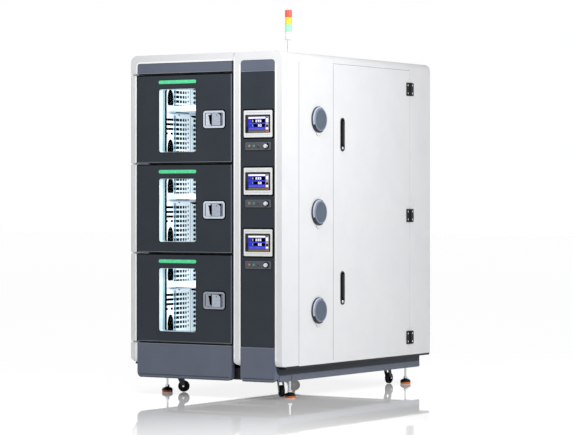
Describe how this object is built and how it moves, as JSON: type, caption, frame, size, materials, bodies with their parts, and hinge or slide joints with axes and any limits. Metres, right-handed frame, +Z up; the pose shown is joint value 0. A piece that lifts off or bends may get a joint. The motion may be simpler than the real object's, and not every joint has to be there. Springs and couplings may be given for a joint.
{
  "type": "environmental test chamber",
  "caption": "Free-standing cabinet of stacked insulated test chambers with windowed doors, a control column, cable ports, a machine bay, a signal tower, casters and levelling feet.",
  "frame": {"origin": "on the floor, under the middle of the bounding box", "axes": "-Y is the front with the doors, +X the side with ports and service door, +Z up"},
  "size_m": [1.0124, 1.678, 2.1105],
  "materials": {
    "black_steel": "semi-gloss black paint",
    "slate_paint": "satin slate grey powder coat",
    "light_paint": "fine-textured light grey powder coat",
    "graphite_paint": "satin graphite powder coat",
    "insulation": "rigid foam slabs",
    "stainless": "bright stainless sheet",
    "bare_aluminium": "mill finish",
    "seal_rubber": "grey silicone",
    "white_steel": "white enamel",
    "white_plastic": "gloss",
    "slate_plastic": "fine matt",
    "black_plastic": "fine matt",
    "board_plastic": "matt",
    "window_glass": "clear, with a green status bar",
    "chromed": "polished",
    "brushed": "fine brushed",
    "zinc_steel": "bright zinc",
    "wheel_rubber": "matt"
  },
  "bodies": {
    "cabinet": {"base_frame": "black_steel", "slate_panels": "slate_paint", "side_covers": "light_paint", "port_panel": "light_paint", "top_cover": "light_paint", "rear_cover": "light_paint", "column_surround": "light_paint", "column_fascia": "graphite_paint", "insulated_walls": "insulation", "chamber_liners": "stainless", "duct_panels": "stainless", "air_units": "bare_aluminium", "shelves": "stainless", "door_seals": "seal_rubber", "fixed_hinges": "white_steel", "touchscreens": "white_plastic", "switch_plates": "slate_plastic", "port_tubes": "slate_plastic", "compressors": "black_steel", "condenser": "bare_aluminium", "electrical_plate": "board_plastic", "tower_light": "white_plastic"},
    "door_1": {"door_1_leaf": "graphite_paint", "door_1_glazing": "window_glass", "door_1_latch_pan": "chromed"},
    "paddle_1": {"latch_paddle_1": "brushed"},
    "knob_1": {"selector_knob_1": "white_plastic"},
    "cap_1": {"port_cap_1": "slate_plastic"},
    "fan_1": {"circulation_fan_1": "bare_aluminium"},
    "door_2": {"door_2_leaf": "graphite_paint", "door_2_glazing": "window_glass", "door_2_latch_pan": "chromed"},
    "paddle_2": {"latch_paddle_2": "brushed"},
    "knob_2": {"selector_knob_2": "white_plastic"},
    "cap_2": {"port_cap_2": "slate_plastic"},
    "fan_2": {"circulation_fan_2": "bare_aluminium"},
    "door_3": {"door_3_leaf": "graphite_paint", "door_3_glazing": "window_glass", "door_3_latch_pan": "chromed"},
    "paddle_3": {"latch_paddle_3": "brushed"},
    "knob_3": {"selector_knob_3": "white_plastic"},
    "cap_3": {"port_cap_3": "slate_plastic"},
    "fan_3": {"circulation_fan_3": "bare_aluminium"},
    "condenser_fan": {"condenser_fan": "black_plastic"},
    "service_door": {"service_door": "light_paint", "service_door_fittings": "black_plastic"},
    "handle_1": {"swing_handle_1": "black_plastic"},
    "handle_2": {"swing_handle_2": "black_plastic"},
    "caster_1": {"caster_fork_1": "zinc_steel"},
    "wheel_1": {"caster_wheel_1": "wheel_rubber"},
    "foot_1": {"levelling_foot_1": "zinc_steel"},
    "caster_2": {"caster_fork_2": "zinc_steel"},
    "wheel_2": {"caster_wheel_2": "wheel_rubber"},
    "foot_2": {"levelling_foot_2": "zinc_steel"},
    "caster_3": {"caster_fork_3": "zinc_steel"},
    "wheel_3": {"caster_wheel_3": "wheel_rubber"},
    "foot_3": {"levelling_foot_3": "zinc_steel"},
    "caster_4": {"caster_fork_4": "zinc_steel"},
    "wheel_4": {"caster_wheel_4": "wheel_rubber"},
    "foot_4": {"levelling_foot_4": "zinc_steel"}
  },
  "joints": [
    {"name": "door_1_hinge", "type": "hinge", "parent": "cabinet", "child": "door_1", "pos_m": [-0.48415, -0.803, 1.523], "axis": [0, 0, -1], "range_deg": [0, 110]},
    {"name": "latch_paddle_1_hinge", "type": "hinge", "parent": "door_1", "child": "paddle_1", "pos_m": [0.09885, -0.817, 1.515], "axis": [0, 0, 1], "range_deg": [0, 40], "stiffness_Nm_per_rad": 0.2, "springref_deg": -11.46},
    {"name": "selector_knob_1_turn", "type": "hinge", "parent": "cabinet", "child": "knob_1", "pos_m": [0.38659, -0.825, 1.366], "axis": [0, -1, 0], "range_deg": [0, 90]},
    {"name": "port_cap_1_pull", "type": "slide", "parent": "cabinet", "child": "cap_1", "axis": [1, 0, 0], "range_m": [0, 0.16]},
    {"name": "circulation_fan_1_spin", "type": "hinge", "parent": "cabinet", "child": "fan_1", "pos_m": [-0.17015, -0.225, 1.598], "axis": [0, 1, 0], "continuous": true},
    {"name": "door_2_hinge", "type": "hinge", "parent": "cabinet", "child": "door_2", "pos_m": [-0.48415, -0.803, 1.03], "axis": [0, 0, -1], "range_deg": [0, 110]},
    {"name": "latch_paddle_2_hinge", "type": "hinge", "parent": "door_2", "child": "paddle_2", "pos_m": [0.09885, -0.817, 1.022], "axis": [0, 0, 1], "range_deg": [0, 40], "stiffness_Nm_per_rad": 0.2, "springref_deg": -11.46},
    {"name": "selector_knob_2_turn", "type": "hinge", "parent": "cabinet", "child": "knob_2", "pos_m": [0.38659, -0.825, 1.057], "axis": [0, -1, 0], "range_deg": [0, 90]},
    {"name": "port_cap_2_pull", "type": "slide", "parent": "cabinet", "child": "cap_2", "axis": [1, 0, 0], "range_m": [0, 0.16]},
    {"name": "circulation_fan_2_spin", "type": "hinge", "parent": "cabinet", "child": "fan_2", "pos_m": [-0.17015, -0.225, 1.105], "axis": [0, 1, 0], "continuous": true},
    {"name": "door_3_hinge", "type": "hinge", "parent": "cabinet", "child": "door_3", "pos_m": [-0.48415, -0.803, 0.537], "axis": [0, 0, -1], "range_deg": [0, 110]},
    {"name": "latch_paddle_3_hinge", "type": "hinge", "parent": "door_3", "child": "paddle_3", "pos_m": [0.09885, -0.817, 0.529], "axis": [0, 0, 1], "range_deg": [0, 40], "stiffness_Nm_per_rad": 0.2, "springref_deg": -11.46},
    {"name": "selector_knob_3_turn", "type": "hinge", "parent": "cabinet", "child": "knob_3", "pos_m": [0.38659, -0.825, 0.726], "axis": [0, -1, 0], "range_deg": [0, 90]},
    {"name": "port_cap_3_pull", "type": "slide", "parent": "cabinet", "child": "cap_3", "axis": [1, 0, 0], "range_m": [0, 0.16]},
    {"name": "circulation_fan_3_spin", "type": "hinge", "parent": "cabinet", "child": "fan_3", "pos_m": [-0.17015, -0.225, 0.612], "axis": [0, 1, 0], "continuous": true},
    {"name": "condenser_fan_spin", "type": "hinge", "parent": "cabinet", "child": "condenser_fan", "pos_m": [-0.15615, 0.675, 0.3783], "axis": [0, 1, 0], "continuous": true},
    {"name": "service_door_hinge", "type": "hinge", "parent": "cabinet", "child": "service_door", "pos_m": [0.49235, 0.57, 1], "axis": [0, 0, 1], "range_deg": [0, 110]},
    {"name": "swing_handle_1_lift", "type": "hinge", "parent": "service_door", "child": "handle_1", "pos_m": [0.47985, -0.195, 1.504], "axis": [0, -1, 0], "range_deg": [0, 35]},
    {"name": "swing_handle_2_lift", "type": "hinge", "parent": "service_door", "child": "handle_2", "pos_m": [0.47985, -0.195, 0.651], "axis": [0, -1, 0], "range_deg": [0, 35]},
    {"name": "caster_1_swivel", "type": "hinge", "parent": "cabinet", "child": "caster_1", "pos_m": [0.32085, -0.577, 0.09], "axis": [0, 0, 1], "continuous": true},
    {"name": "wheel_1_roll", "type": "hinge", "parent": "caster_1", "child": "wheel_1", "pos_m": [0.33464, -0.58857, 0.0335], "axis": [0.6428, 0.766, 0], "continuous": true},
    {"name": "levelling_foot_1_turn", "type": "hinge", "parent": "cabinet", "child": "foot_1", "pos_m": [0.39585, -0.6, 0.06], "axis": [0, 0, 1], "continuous": true},
    {"name": "caster_2_swivel", "type": "hinge", "parent": "cabinet", "child": "caster_2", "pos_m": [-0.34115, -0.577, 0.09], "axis": [0, 0, 1], "continuous": true},
    {"name": "wheel_2_roll", "type": "hinge", "parent": "caster_2", "child": "wheel_2", "pos_m": [-0.32484, -0.56939, 0.0335], "axis": [-0.4226, 0.9063, 0], "continuous": true},
    {"name": "levelling_foot_2_turn", "type": "hinge", "parent": "cabinet", "child": "foot_2", "pos_m": [-0.41615, -0.6, 0.06], "axis": [0, 0, 1], "continuous": true},
    {"name": "caster_3_swivel", "type": "hinge", "parent": "cabinet", "child": "caster_3", "pos_m": [0.32085, 0.597, 0.09], "axis": [0, 0, 1], "continuous": true},
    {"name": "wheel_3_roll", "type": "hinge", "parent": "caster_3", "child": "wheel_3", "pos_m": [0.32085, 0.615, 0.0335], "axis": [-1, 0, 0], "continuous": true},
    {"name": "levelling_foot_3_turn", "type": "hinge", "parent": "cabinet", "child": "foot_3", "pos_m": [0.39585, 0.679, 0.06], "axis": [0, 0, 1], "continuous": true},
    {"name": "caster_4_swivel", "type": "hinge", "parent": "cabinet", "child": "caster_4", "pos_m": [-0.34115, 0.597, 0.09], "axis": [0, 0, 1], "continuous": true},
    {"name": "wheel_4_roll", "type": "hinge", "parent": "caster_4", "child": "wheel_4", "pos_m": [-0.32484, 0.60461, 0.0335], "axis": [-0.4226, 0.9063, 0], "continuous": true},
    {"name": "levelling_foot_4_turn", "type": "hinge", "parent": "cabinet", "child": "foot_4", "pos_m": [-0.41615, 0.679, 0.06], "axis": [0, 0, 1], "continuous": true}
  ]
}
